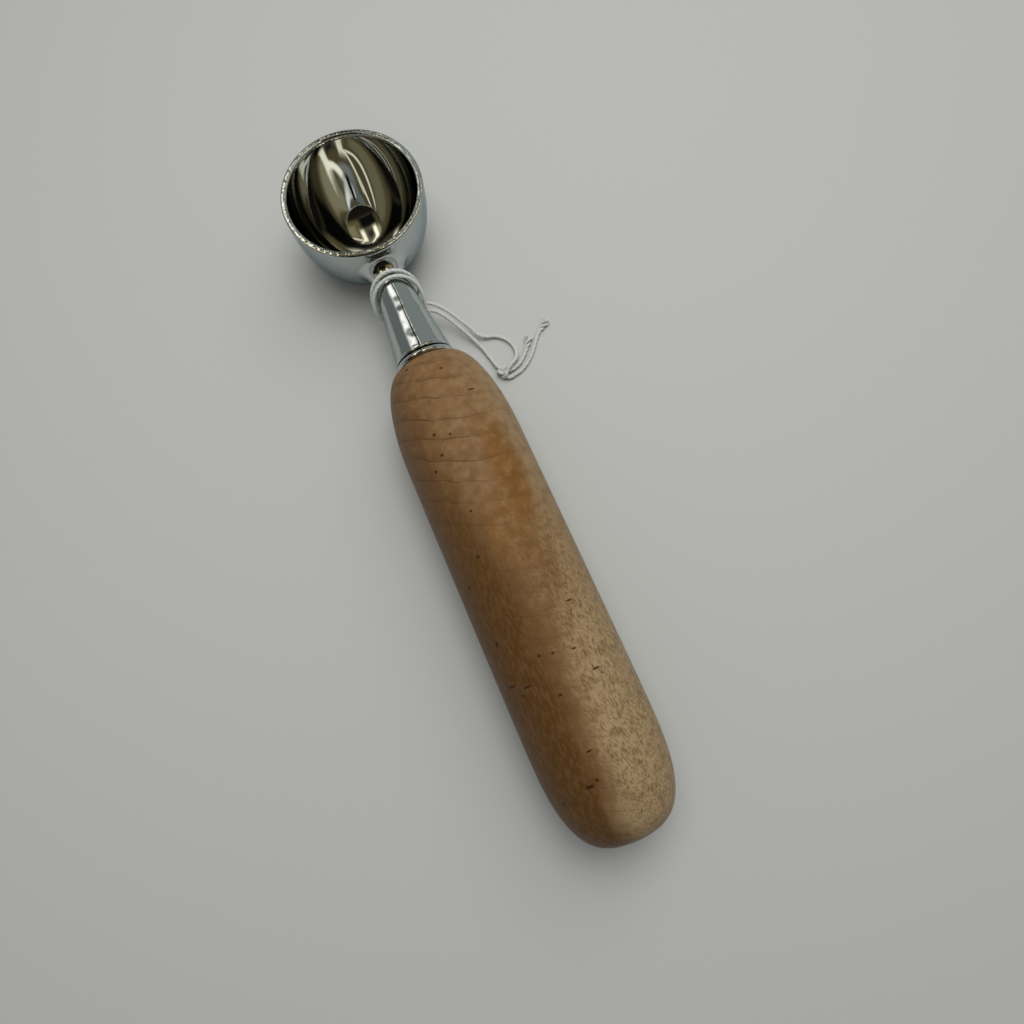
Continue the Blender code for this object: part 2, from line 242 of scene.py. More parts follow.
def neck_radius_at(place):
    """Radius of the neck between its thick end and its waist."""
    share = min(max((WAIST_PLACE - place) / (WAIST_PLACE - NECK_START), 0.0), 1.0)
    return NECK_WAIST_RADIUS + (NECK_BASE_RADIUS - NECK_WAIST_RADIUS) * share**NECK_TAPER_POWER


def flare():
    """(place, radius) pairs of the flare, a quarter of an ellipse that ends on the cup's wall."""
    length = WALL_PLACE + FOOT_SINK - WAIST_PLACE
    pairs = []
    for angle in np.linspace(0, math.pi / 2, FLARE_POINTS)[1:]:
        rise = NECK_FILLET * (1 - math.cos(angle))
        pairs.append((WAIST_PLACE + length * math.sin(angle), NECK_WAIST_RADIUS + rise))
    return pairs


def neck_outline():
    """The neck's outline, from the bottom of the stud's hole, round the thick end to the foot."""
    hole_end = NECK_START + STUD_HOLE_DEPTH
    hole_tip = hole_end + STUD_HOLE_RADIUS / 2
    pairs = [(hole_tip, 0.0), (hole_end, STUD_HOLE_RADIUS), (NECK_START, STUD_HOLE_RADIUS)]
    taper_start = NECK_START + NECK_EDGE
    pairs += corner((taper_start, NECK_BASE_RADIUS - NECK_EDGE), NECK_EDGE, -90, 0, 5)
    for place in np.linspace(taper_start, WAIST_PLACE, TAPER_POINTS)[1:]:
        pairs.append((place, neck_radius_at(place)))
    pairs += flare()
    foot_place, foot_radius = pairs[-1]
    pairs += [(foot_place + FOOT_DEPTH, foot_radius * share) for share in (1.0, 0.67, 0.33, 0.0)]
    return [along(*pair) for pair in pairs]


def follow_cup(piece):
    """Moves the flare and the foot along the neck until they follow the cup's wall."""
    for vertex in piece.data.vertices:
        share = (vertex.co.y - FACE_Y - NECK_LEAN_START) / (WAIST_PLACE - NECK_LEAN_START)
        if share > 0:
            wall = cup_wall_place(vertex.co.x, vertex.co.z)
            vertex.co.y += min(share, 1.0) ** 2 * (wall - WALL_PLACE)


neck = turn_piece("tapered_neck", neck_outline(), AXIS_START, ALONG_HANDLE, TURN_STEPS)
follow_cup(neck)
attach(neck, "root")
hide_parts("neck")

# %% [markdown]
# ## The collar
# A thin ring covers the joint between the metal and the wood. Its rim is a half circle, which
# catches the light as one bright crescent against the dark line of the joint. A flattened
# torus would look much the same, but turning also gives the ring its flat sides and the hole.

# %% Collar
COLLAR_RADIUS = 0.0082


def collar_outline():
    """The ring's outline, round the rim and back through its hole."""
    half = COLLAR_THICKNESS / 2
    pairs = corner((GAP + half, COLLAR_RADIUS - half), half, 90, -90, 16)
    pairs += [(GAP, STUD_HOLE_RADIUS), (GAP + COLLAR_THICKNESS, STUD_HOLE_RADIUS), pairs[0]]
    return [along(*pair) for pair in pairs]


collar = turn_piece("collar_ring", collar_outline(), AXIS_START, ALONG_HANDLE, TURN_STEPS)
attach(collar, "root")
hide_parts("collar")

# %% [markdown]
# ## The handle
# One stick of maple, turned almost straight, with a short rounded shoulder at the metal and a
# fuller, blunter butt. A cylinder with bevelled ends would be too even, so two more
# superellipses make the ends. The bore for the brass insert is part of the same outline, so
# the stick is hollow there as the real one is.

# %% Handle
HANDLE_FRONT_RADIUS = 0.0155
HANDLE_SWELL_PLACE = 0.095
HANDLE_FACE_RADIUS = 0.0081
SHOULDER_LENGTH = 0.0254
SHOULDER_POWER = 2.0
BUTT_LENGTH = 0.0313
BUTT_POWER = 3.2
BELLY_POINTS = 24
# Place and radius, from the end of the bore to the seat of the insert's flange
BORE = ((-0.0163, 0.0), (-0.0153, 0.0055), (-0.0016, 0.0055), (-0.0016, 0.0059), (0.0, 0.0059))


def belly_radius(distance):
    """Radius of the handle's long middle at a distance from its face."""
    share = min(distance / HANDLE_SWELL_PLACE, 1.0)
    swell = math.sin(math.pi / 2 * share) ** 2
    return HANDLE_FRONT_RADIUS + (HANDLE_RADIUS - HANDLE_FRONT_RADIUS) * swell


def handle_outline():
    """The handle's outline, out of the bore, over shoulder and belly to the tip of the butt."""
    pairs = list(BORE)
    for share in 1 - np.cos(np.linspace(0, math.pi / 2, CURVE_POINTS)):
        rise = (1 - (1 - share) ** SHOULDER_POWER) ** (1 / SHOULDER_POWER)
        distance = SHOULDER_LENGTH * share
        radius = HANDLE_FACE_RADIUS + (belly_radius(distance) - HANDLE_FACE_RADIUS) * rise
        pairs.append((-distance, radius))
    butt_start = HANDLE_LENGTH - BUTT_LENGTH
    for distance in np.linspace(SHOULDER_LENGTH, butt_start, BELLY_POINTS)[1:]:
        pairs.append((-distance, belly_radius(distance)))
    for angle in np.linspace(0, math.pi / 2, CURVE_POINTS)[1:-1]:
        out = math.cos(angle) ** (2 / BUTT_POWER)
        back = math.sin(angle) ** (2 / BUTT_POWER)
        pairs.append((-butt_start - BUTT_LENGTH * back, HANDLE_RADIUS * out))
    return [along(*pair) for pair in pairs + [(-HANDLE_LENGTH, 0.0)]]


handle = turn_piece("maple_handle", handle_outline(), AXIS_START, ALONG_HANDLE, TURN_STEPS)
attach(handle, "root")
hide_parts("handle")

# %% [markdown]
# ## The string
# One limp loop of thin cotton string is hitched round the neck: it goes over the top twice, and
# both strands run back under their own bight and down to the table, to a knot with two tails.
# Its centreline is a smooth curve through points on the neck and on the table. A Bezier curve
# drawn by hand would do, but a hitch worked out from the neck's own radius is sure to clear it.

# %% String route
STRING_RADIUS = 0.00065
HITCH_PLACE = 0.0222
HITCH_SPREAD = 0.00095
HITCH_TILT = 0.53
HITCH_TILT_END = -0.5
HITCH_ROOM = 0.00035
HITCH_SAG = 0.0003
HITCH_ANGLES = np.radians(np.arange(20, 271, 35))
# How far across, along and up. The first and the last are shares of the hitch's radius.
BIGHT = (
    (0.64, 0.00020, -1.45),
    (0.68, 0.00165, -1.42),
    (0.74, 0.00290, -1.18),
    (0.84, 0.00290, -0.82),
    (0.99, 0.00190, -0.30),
)


def hitch_radius(place):
    """How far the string's middle lies from the neck's axis."""
    return neck_radius_at(place) + STRING_RADIUS + GAP + HITCH_ROOM


def hitch_lean(rise):
    """How far a point of the hitch, higher than the axis by rise radii, lies towards the cup."""
    return HITCH_TILT * hitch_radius(HITCH_PLACE) * max(rise, HITCH_TILT_END)


def hitch_points(side):
    """Half of the hitch, from the bight under the neck, over its top and out below."""
    bight_radius = hitch_radius(HITCH_PLACE)
    points = []
    for x, spread, rise in BIGHT:
        place = HITCH_PLACE + side * spread + hitch_lean(rise)
        points.append((x * bight_radius, FACE_Y + place, AXIS_HEIGHT + rise * bight_radius))
    for angle in HITCH_ANGLES:
        place = HITCH_PLACE + side * HITCH_SPREAD + hitch_lean(math.sin(angle))
        radius = hitch_radius(place)
        height = AXIS_HEIGHT + radius * math.sin(angle) - HITCH_SAG
        points.append((radius * math.cos(angle), FACE_Y + place, height))
    return points


def smooth_line(points, spacing):
    """Points at about this spacing on a smooth curve through the given ones."""
    points = np.array(points, float)
    gaps = np.linalg.norm(np.diff(points, axis=0), axis=1)
    steps = np.diff(points, axis=0) / gaps[:, None]
    middle = steps[:-1] * gaps[1:, None] + steps[1:] * gaps[:-1, None]
    middle = middle / (gaps[1:] + gaps[:-1])[:, None]
    slopes = np.vstack([steps[:1], middle, steps[-1:]])
    line = []
    for i, gap in enumerate(gaps):
        count = max(int(round(gap / spacing)), 1)
        for t in np.arange(count) / count:
            here = (1 + 2 * t) * (1 - t) ** 2 * points[i] + t**2 * (3 - 2 * t) * points[i + 1]
            bend = t * (1 - t) ** 2 * slopes[i] + t**2 * (t - 1) * slopes[i + 1]
            line.append(here + gap * bend)
    return np.array(line + [points[-1]])


def line_length(line):
    return float(np.linalg.norm(np.diff(line, axis=0), axis=1).sum())


# Points of each strand from the neck, down to the table and through the knot to its cut end
LONG_WAY = [
    (0.0025, 0.0506, 0.0088),
    (0.0050, 0.0506, 0.0088),
    (0.0070, 0.0504, 0.0082),
    (0.0087, 0.0497, 0.0075),
    (0.0104, 0.0482, 0.0069),
    (0.0120, 0.0464, 0.0060),
    (0.0133, 0.0446, 0.0050),
    (0.0147, 0.0425, 0.0039),
    (0.0160, 0.0407, 0.0027),
    (0.0170, 0.0388, 0.0019),
    (0.0189, 0.0374, 0.0012),
    (0.0213, 0.0367, 0.0008),
    (0.0235, 0.0351, 0.0007),
    (0.0248, 0.0331, 0.0007),
    (0.0253, 0.0307, 0.0008),
    (0.0249, 0.0286, 0.0014),
    (0.0236, 0.0270, 0.0022),
    (0.0219, 0.0261, 0.0026),
    (0.0205, 0.0250, 0.0021),
    (0.0196, 0.0239, 0.0012),
    (0.0205, 0.0233, 0.0009),
    (0.0220, 0.0235, 0.0008),
    (0.0240, 0.0239, 0.0007),
    (0.0265, 0.0252, 0.0007),
    (0.0290, 0.0273, 0.0007),
    (0.0311, 0.0298, 0.0007),
    (0.0331, 0.0322, 0.0007),
    (0.0353, 0.0338, 0.0007),
    (0.0371, 0.0348, 0.0007),
]
SHORT_WAY = [
    (0.0025, 0.0488, 0.0088),
    (0.0048, 0.0486, 0.0086),
    (0.0070, 0.0481, 0.0078),
    (0.0089, 0.0475, 0.0066),
    (0.0105, 0.0457, 0.0057),
    (0.0118, 0.0440, 0.0047),
    (0.0132, 0.0418, 0.0036),
    (0.0146, 0.0395, 0.0024),
    (0.0158, 0.0371, 0.0016),
    (0.0168, 0.0348, 0.0010),
    (0.0175, 0.0321, 0.0008),
    (0.0180, 0.0299, 0.0008),
    (0.0184, 0.0280, 0.0011),
    (0.0190, 0.0266, 0.0014),
    (0.0200, 0.0256, 0.0014),
    (0.0213, 0.0252, 0.0010),
    (0.0228, 0.0254, 0.0008),
    (0.0248, 0.0262, 0.0007),
    (0.0267, 0.0277, 0.0007),
    (0.0285, 0.0298, 0.0007),
    (0.0302, 0.0323, 0.0007),
]
POINT_SPACING = 0.0006
long_line = smooth_line(hitch_points(1) + LONG_WAY, POINT_SPACING)
short_line = smooth_line(hitch_points(-1) + SHORT_WAY, POINT_SPACING)
print("string lengths", round(line_length(long_line), 4), round(line_length(short_line), 4))

# %% [markdown]
# Three soft plies twisted together make the string. Each is a curve wound round the
# centreline at a steady pitch, with a round bevel, made a mesh and joined to the others. They
# sink well into one another, because cotton squeezes together and its twist hardly shows.
# Near a cut end the twist opens and the plies part.

# %% String plies
PLIES = 3
PLY_RADIUS = 0.00036
PLY_OFFSET = 0.00019
TWIST_PITCH = 0.0042
FRAY_LENGTH = 0.0050
FRAY_SPREAD = 0.00085
FRAY_UNTWIST = 1.2
FIRST_SIDE = (0.3, 0.2, 0.9)


def carried_sides(line):
    """A side direction at each point of the line that turns as little as it can."""
    ways = np.gradient(line, axis=0)
    ways /= np.linalg.norm(ways, axis=1)[:, None]
    side = np.cross(ways[0], FIRST_SIDE)
    sides = []
    for way in ways:
        side = side - way * np.dot(side, way)
        side /= np.linalg.norm(side)
        sides.append(side)
    return np.array(sides), np.cross(ways, sides)


def ply_line(line, number, fray):
    """The centreline of one ply, wound round the string's own."""
    walked = np.concatenate([[0], np.cumsum(np.linalg.norm(np.diff(line, axis=0), axis=1))])
    to_end = np.clip((walked - walked[-1] + FRAY_LENGTH) / FRAY_LENGTH, 0, 1) * fray
    angle = 2 * math.pi * (walked / TWIST_PITCH + number / PLIES)
    angle = angle - to_end**2 * FRAY_UNTWIST
    offset = PLY_OFFSET + to_end**1.5 * FRAY_SPREAD
    first, second = carried_sides(line)
    aside = np.cos(angle)[:, None] * first + np.sin(angle)[:, None] * second
    ply = line + offset[:, None] * aside
    ply[:, 2] = np.maximum(ply[:, 2], PLY_RADIUS)
    return ply


def tube(name, line, radius):
    """A round tube along a line, as a mesh object."""
    curve = bpy.data.curves.new(name, "CURVE")
    curve.dimensions = "3D"
    curve.bevel_depth = radius
    curve.bevel_resolution = 3
    curve.use_fill_caps = True
    spline = curve.splines.new("POLY")
    spline.points.add(len(line) - 1)
    for point, place in zip(spline.points, line):
        point.co = (*place, 1.0)
    made = bpy.data.objects.new(name, curve)
    bpy.context.scene.collection.objects.link(made)
    deselect_all()
    made.select_set(True)
    bpy.context.view_layer.objects.active = made
    bpy.ops.object.convert(target="MESH")
    return bpy.context.object


def join_pieces(name, pieces):
    """Makes one object of several."""
    deselect_all()
    for piece in pieces:
        piece.select_set(True)
    bpy.context.view_layer.objects.active = pieces[0]
    bpy.ops.object.join()
    joined = bpy.context.object
    joined.name = name
    bpy.ops.object.shade_smooth()
    print(name, "faces:", len(joined.data.polygons))
    return joined


def string_piece(name, line, fray=1.0):
    """Twisted string along a line, which frays at its end unless fray is 0."""
    plies = [tube(name, ply_line(line, number, fray), PLY_RADIUS) for number in range(PLIES)]
    return join_pieces(name, plies)


long_string = string_piece("string_long_half", long_line)
short_string = string_piece("string_short_half", short_line)

# %% [markdown]
# ## The knot
# Both strands are tied together in one overhand knot. Seen from above it is a small lump of
# crossing strands. A trefoil is the closed form of the overhand knot, so a short length of
# the same string on a trefoil's line gives the right crossings.

# %% Knot
KNOT_PLACE = Vector((0.0194, 0.0253, 0.0015))
KNOT_WIDTH = 0.00047
KNOT_RISE = 0.00050
KNOT_POINTS = 90


def knot_line():
    """The closed line of a trefoil."""
    turns = np.linspace(0, 2 * math.pi, KNOT_POINTS)
    x = np.sin(turns) + 2 * np.sin(2 * turns)
    y = np.cos(turns) - 2 * np.cos(2 * turns)
    z = -np.sin(3 * turns)
    line = np.stack([x * KNOT_WIDTH, y * KNOT_WIDTH, z * KNOT_RISE], axis=1)
    return line + np.array(KNOT_PLACE)


knot = string_piece("string_knot", knot_line(), fray=0.0)
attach(knot, "root")
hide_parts("twine_knot")

# %% [markdown]
# The string is one piece with its bight under the neck, and is modelled as two halves that
# meet there. Each half is a cord of a fixed length. It starts at the bight, ends in a bare cut
# end, and stands for two of the solids.

# %% String halves


def declare_string(piece, nodes):
    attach(piece, "root")
    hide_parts(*nodes)


declare_string(long_string, ("twine_lead", "twine_long_tail"))
declare_string(short_string, ("twine_return", "twine_short_tail"))
print("cords", long_string.name, short_string.name)

# %% [markdown]
# ## Finishes
# Each finish is a Principled shader. Helpers add a node, link it and set the shader's own
# values, so that each material below reads as a short list of what it is made of.

# %% Material helpers


def new_material(name, metallic, roughness):
    material = bpy.data.materials.new(name)
    material.use_nodes = True
    shader = material.node_tree.nodes["Principled BSDF"]
    shader.inputs["Metallic"].default_value = metallic
    shader.inputs["Roughness"].default_value = roughness
    return material, shader


def add_node(tree, kind, **values):
    """Adds a node and sets its inputs by name, or its own settings in lower case."""
    node = tree.nodes.new(kind)
    for name, value in values.items():
        if name[0].isupper():
            node.inputs[name.replace("_", " ")].default_value = value
        else:
            setattr(node, name, value)
    return node


def mix_colours(tree, share, first, second):
    """Mixes two colours, each a socket or a plain value."""
    mix = add_node(tree, "ShaderNodeMix", data_type="RGBA")
    tree.links.new(share, mix.inputs[0])
    for colour, socket in ((first, mix.inputs[6]), (second, mix.inputs[7])):
        if isinstance(colour, tuple):
            socket.default_value = colour
        else:
            tree.links.new(colour, socket)
    return mix.outputs[2]


def math_node(tree, operation, first, second):
    """A Math node on two values, each a socket or a number."""
    node = add_node(tree, "ShaderNodeMath", operation=operation)
    for value, socket in ((first, node.inputs[0]), (second, node.inputs[1])):
        if isinstance(value, (int, float)):
            socket.default_value = value
        else:
            tree.links.new(value, socket)
    return node.outputs["Value"]


def times(tree, first, second):
    return math_node(tree, "MULTIPLY", first, second)


def range_node(tree, value, start, end, low=0.0, high=1.0):
    """Smoothly turns values from start to end into values from low to high."""
    node = add_node(tree, "ShaderNodeMapRange", interpolation_type="SMOOTHSTEP")
    tree.links.new(value, node.inputs["Value"])
    for name, number in (("From Min", start), ("From Max", end), ("To Min", low), ("To Max", high)):
        node.inputs[name].default_value = number
    return node.outputs["Result"]


def noise_node(tree, vector, scale, detail=2.0):
    node = add_node(tree, "ShaderNodeTexNoise", Scale=scale, Detail=detail)
    tree.links.new(vector, node.inputs["Vector"])
    return node.outputs["Fac"]


def scaled(tree, vector, factors):
    """The vector multiplied by three factors."""
    node = add_node(tree, "ShaderNodeVectorMath", operation="MULTIPLY")
    tree.links.new(vector, node.inputs[0])
    node.inputs[1].default_value = factors
    return node.outputs["Vector"]


def join_values(tree, *values):
    """A vector of two or three values."""
    vector = add_node(tree, "ShaderNodeCombineXYZ")
    for value, socket in zip(values, vector.inputs):
        tree.links.new(value, socket)
    return vector.outputs["Vector"]


def choose_shader(tree, share, first, second):
    """The first shader where the share is 0 and the second where it is 1."""
    mix = add_node(tree, "ShaderNodeMixShader")
    tree.links.new(share, mix.inputs["Fac"])
    tree.links.new(first, mix.inputs[1])
    tree.links.new(second, mix.inputs[2])
    return mix.outputs["Shader"]


def give(piece, material):
    piece.data.materials.clear()
    piece.data.materials.append(material)


# %% [markdown]
# ### Chrome
# Polished plating is a metal with almost no roughness. Real polish is never quite flat: the
# buffing wheel leaves faint waves that bend long reflections, which a very low Bump gives.
# The cup, spun against the wheel, is calm inside. The neck, buffed by hand, is wavier, and the
# lip is too narrow for the wheel, so its small dents glitter. The wheel doesn't reach the
# bottom of the cup either, and its shine is softer there. Metal seen edge on keeps a blue cast,
# which the Specular Tint gives.

# %% Chrome
CHROME_COLOUR = (0.57, 0.585, 0.58, 1)
CHROME_EDGE_COLOUR = (0.50, 0.58, 0.62, 1)
POLISH = 0.03
WAVE_SCALE = 190.0
CUP_WAVES = 0.00001
NECK_WAVES = 0.00026


def make_chrome(name, wave_height):
    material, shader = new_material(name, 1.0, POLISH)
    shader.inputs["Base Color"].default_value = CHROME_COLOUR
    shader.inputs["Specular Tint"].default_value = CHROME_EDGE_COLOUR
    tree = material.node_tree
    place = add_node(tree, "ShaderNodeTexCoord")
    waves = noise_node(tree, place.outputs["Object"], WAVE_SCALE, 1.0)
    bump = add_node(tree, "ShaderNodeBump", Strength=1.0, Distance=wave_height)
    tree.links.new(waves, bump.inputs["Height"])
    tree.links.new(bump.outputs["Normal"], shader.inputs["Normal"])
    return material


wavy_chrome = make_chrome("wavy_chrome", NECK_WAVES)
for piece in (neck, collar):
    give(piece, wavy_chrome)
print("wavy chrome on", neck.name, collar.name)

# %% [markdown]
# The cup's chrome is the same, with calmer waves. A second Bump, which works only at the height
# of the lip, follows the first, and the height also decides how sharp the polish is.

# %% Cup chrome
LIP_HEIGHT = 0.0012
LIP_FADE = 0.7
LIP_DENTS = 0.00011
DENT_SCALE = 650.0
BOTTOM_POLISH = 0.13
BOTTOM_HEIGHTS = (0.0055, 0.0020)


def vary_polish(material):
    """Adds small dents at the height of the cup's lip, and dulls the bottom of the cup."""
    tree = material.node_tree
    shader = tree.nodes["Principled BSDF"]
    below = shader.inputs["Normal"].links[0].from_socket
    place = add_node(tree, "ShaderNodeTexCoord")
    parts = add_node(tree, "ShaderNodeSeparateXYZ")
    tree.links.new(place.outputs["Object"], parts.inputs["Vector"])
    height = parts.outputs["Z"]
    roughness = range_node(tree, height, *BOTTOM_HEIGHTS, POLISH, BOTTOM_POLISH)
    tree.links.new(roughness, shader.inputs["Roughness"])
    lip = range_node(tree, height, CUP_HEIGHT - LIP_HEIGHT, CUP_HEIGHT - LIP_FADE * LIP_HEIGHT)
    dents = times(tree, noise_node(tree, place.outputs["Object"], DENT_SCALE), lip)
    bump = add_node(tree, "ShaderNodeBump", Strength=1.0, Distance=LIP_DENTS)
    tree.links.new(dents, bump.inputs["Height"])
    tree.links.new(below, bump.inputs["Normal"])
    tree.links.new(bump.outputs["Normal"], shader.inputs["Normal"])


calm_chrome = make_chrome("calm_chrome", CUP_WAVES)
vary_polish(calm_chrome)
give(cup, calm_chrome)
print("calm chrome on", cup.name)

# %% [markdown]
# ### Steel and brass
# The stud and its insert are hidden inside, and show only if the scoop is taken apart. So
# they keep their plain solids, and one turned look with two colours is enough.

# %% Steel and brass
STEEL_COLOUR = (0.52, 0.52, 0.53, 1)
BRASS_COLOUR = (0.72, 0.53, 0.25, 1)
TURNED_ROUGHNESS = 0.35

steel, steel_shader = new_material("plain_steel", 1.0, TURNED_ROUGHNESS)
steel_shader.inputs["Base Color"].default_value = STEEL_COLOUR
brass, brass_shader = new_material("turned_brass", 1.0, TURNED_ROUGHNESS)
brass_shader.inputs["Base Color"].default_value = BRASS_COLOUR
give(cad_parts["stud"], steel)
give(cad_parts["threaded_insert"], brass)
print("hidden pieces in", steel.name, brass.name)

# %% [markdown]
# ### Maple
# The wood is sanded and oiled maple. Its colour is built up from what can be seen in it: tan
# wood that goes brown on the side away from the lamp and pale on the side towards it, orange
# patches, thin growth lines across the stick, short dark flecks along it, and single pin marks.
# The brown is partly darker wood and partly painted shade, and the pale is partly paler wood
# and partly painted sheen. A picture of wood would stretch at the rounded ends, while a colour
# worked out from the place in the stick runs through it as real figure does. Places are in
# millimetres, so the coordinates are first multiplied by a thousand.
#
# A single mark is dark inside a small ellipsoid. A node group makes that mask, and the same
# group, with a larger ellipsoid, serves for the orange patches.

# %% Wood marks
# Centre and half size of each single mark
MARKS = (
    ((-5.4, 26.2, 26.1), (0.5, 0.35, 0.5)),
    ((2.4, 21.9, 28.9), (0.35, 0.35, 0.5)),
    ((-5.7, 6.3, 30.3), (0.45, 0.35, 0.5)),
    ((-2.1, 4.6, 31.3), (0.35, 0.30, 0.5)),
    ((-5.9, 0.9, 30.3), (0.5, 0.30, 0.5)),
    ((-8.8, -1.9, 28.7), (0.4, 0.35, 0.5)),
    ((-4.9, -14.5, 30.7), (0.3, 0.30, 0.5)),
    ((-7.7, -24.9, 29.6), (0.45, 0.30, 0.5)),
    ((-12.6, -30.1, 25.3), (0.5, 0.35, 0.5)),
    ((-4.0, -51.2, 31.2), (0.4, 0.30, 0.5)),
    ((-0.9, -51.9, 31.7), (0.5, 0.25, 0.5)),
    ((3.9, -52.8, 31.2), (0.5, 0.25, 0.5)),
    ((-3.2, -60.8, 31.4), (0.45, 0.30, 0.5)),
    ((-10.9, -57.8, 27.4), (0.5, 0.25, 0.5)),
    ((-11.7, -44.8, 26.5), (0.3, 0.6, 0.5)),
    ((-3.3, -80.3, 30.9), (0.3, 0.40, 0.5)),
    ((-12.3, -82.8, 24.8), (0.5, 0.35, 0.5)),
    ((7.0, 13.8, 29.0), (1.0, 0.22, 0.8)),
    ((-12.4, -55.0, 25.7), (1.6, 0.28, 1.2)),
    ((-9.0, -56.4, 28.6), (1.5, 0.22, 1.0)),
    ((-2.4, -74.1, 31.5), (0.8, 0.22, 0.5)),
    ((-5.3, -81.1, 30.3), (1.2, 0.40, 0.6)),
    ((6.6, -58.7, 30.3), (1.1, 0.22, 0.8)),
    ((7.4, -42.5, 29.8), (0.9, 0.20, 0.8)),
)


def make_mark_group():
    """A mask that is 1 inside an ellipsoid with this centre and these half sizes, and 0 outside."""
    group = bpy.data.node_groups.new("soft_ellipsoid", "ShaderNodeTree")
    for name in ("Place", "Centre", "Half Size"):
        group.interface.new_socket(name, in_out="INPUT", socket_type="NodeSocketVector")
    group.interface.new_socket("Mask", in_out="OUTPUT", socket_type="NodeSocketFloat")
    inside = add_node(group, "NodeGroupInput")
    away = add_node(group, "ShaderNodeVectorMath", operation="SUBTRACT")
    share = add_node(group, "ShaderNodeVectorMath", operation="DIVIDE")
    far = add_node(group, "ShaderNodeVectorMath", operation="LENGTH")
    group.links.new(inside.outputs["Place"], away.inputs[0])
    group.links.new(inside.outputs["Centre"], away.inputs[1])
    group.links.new(away.outputs["Vector"], share.inputs[0])
    group.links.new(inside.outputs["Half Size"], share.inputs[1])
    group.links.new(share.outputs["Vector"], far.inputs[0])
    mask = range_node(group, far.outputs["Value"], 1.50, 0.50)
    group.links.new(mask, add_node(group, "NodeGroupOutput").inputs["Mask"])
    return group


soft_ellipsoid = make_mark_group()


def ellipsoid_mask(tree, place, centre, half_size):
    node = add_node(tree, "ShaderNodeGroup", node_tree=soft_ellipsoid)
    tree.links.new(place, node.inputs["Place"])
    node.inputs["Centre"].default_value = centre
    node.inputs["Half Size"].default_value = half_size
    return node.outputs["Mask"]


def all_marks(tree, place):
    mask = ellipsoid_mask(tree, place, *MARKS[0])
    for centre, half_size in MARKS[1:]:
        mask = math_node(tree, "MAXIMUM", mask, ellipsoid_mask(tree, place, centre, half_size))
    return mask


print("single marks in the wood:", len(MARKS))

# %% [markdown]
# The growth lines are level sets of one simple sum, the place along the stick less a square of
# the place across it. Noise shakes them a little and lets them fade out in places.

# %% Growth lines
LINE_SPACING = 5.7
LINE_OFFSET = 0.9
LINE_PHASE = 0.21
LINE_BEND = 48.0
LINE_MIDDLE = 8.0
LINE_SHAKE = 2.4
# A line and the soft shade behind it, as shares of the spacing
LINE_WIDTH = 0.08
SHADE_WIDTH = 0.50
SHADE_STRENGTH = 0.28


def growth_lines(tree, place, across, along_y):
    """Thin lines across the stick, each with a soft shade behind it, strongest near the metal."""
    aside = math_node(tree, "SUBTRACT", across, LINE_MIDDLE)
    bend = math_node(tree, "DIVIDE", times(tree, aside, aside), LINE_BEND)
    level = math_node(tree, "SUBTRACT", math_node(tree, "SUBTRACT", along_y, bend), LINE_OFFSET)
    shake = times(tree, noise_node(tree, place, 0.16, 3.0), LINE_SHAKE)
    turns = math_node(tree, "DIVIDE", math_node(tree, "ADD", level, shake), LINE_SPACING)
    share = math_node(tree, "FRACT", math_node(tree, "SUBTRACT", turns, LINE_PHASE), 0.0)
    thin = range_node(tree, share, LINE_WIDTH, 0.0)
    shade = range_node(tree, share, SHADE_WIDTH, 0.0, 0.0, SHADE_STRENGTH)
    patchy = range_node(tree, noise_node(tree, place, 0.30), 0.36, 0.52, 0.30, 1.0)
    lines = math_node(tree, "ADD", times(tree, thin, patchy), shade)
    near_metal = range_node(tree, along_y, -24.0, 2.0, 0.34, 0.72)
    left = range_node(tree, across, 10.0, -2.0, 0.30, 1.0)
    return times(tree, lines, times(tree, near_metal, left))


print("growth lines every", LINE_SPACING, "mm")

# %% [markdown]
# The flecks are cut wood rays: short strokes that lie in slanting rows. Fine noise, drawn out
# along the stick, gives strokes, and leaning its coordinates makes the rows slant. A few
# coarser ones lie between them.

# %% Flecks
FLECK_LEAN = 0.34
FLECK_STRENGTH = 0.72
FLECKS_EVERYWHERE = 0.10


def flecks(tree, place, across, along_y, up):
    """Short dark strokes in slanting rows, dense on the right side towards the butt."""
    lean = times(tree, along_y, FLECK_LEAN)
    slanted = join_values(tree, math_node(tree, "ADD", across, lean), along_y, up)
    fine = noise_node(tree, scaled(tree, slanted, (1.0, 0.24, 1.0)), 3.0)
    fine = times(tree, range_node(tree, fine, 0.46, 0.62), FLECK_STRENGTH)
    coarse = noise_node(tree, scaled(tree, place, (1.0, 0.35, 1.0)), 1.5, 3.0)
    marks = math_node(tree, "MAXIMUM", fine, range_node(tree, coarse, 0.60, 0.68))
    right = range_node(tree, across, -5.0, 3.0)
    lower = range_node(tree, along_y, -5.0, -34.0)
    dense = times(tree, times(tree, right, lower), FLECK_STRENGTH)
    return times(tree, marks, math_node(tree, "ADD", dense, FLECKS_EVERYWHERE))


# %% [markdown]
# Brown, tan and pale wood meet at two borders that slant along the stick, and a broad cloud of
# noise lets them wander. The brown side, away from the lamp, is partly painted shade, and the
# pale side, towards it, partly painted sheen. Blotches and streaks then break up the plain areas.

# %% Plain wood
TAN = (0.188, 0.103, 0.042, 1)
# The brown is darker wood with painted shade mixed in, for the side away from the lamp; the dark
# blotches use it as well.
BROWN_AND_SHADE = (0.085, 0.037, 0.008, 1)
ORANGE = (0.165, 0.072, 0.014, 1)
# The pale is paler wood with a painted sheen mixed in, for the side towards the lamp; the light
# blotches use it as well.
PALE_AND_SHEEN = (0.315, 0.222, 0.116, 1)
# Centre, half size and strength
ORANGE_PATCHES = (
    ((6.8, -8.0, 28.5), (4.2, 13.0, 6.0), 0.85),
    ((2.0, -23.0, 31.0), (5.0, 9.0, 5.0), 0.65),
)
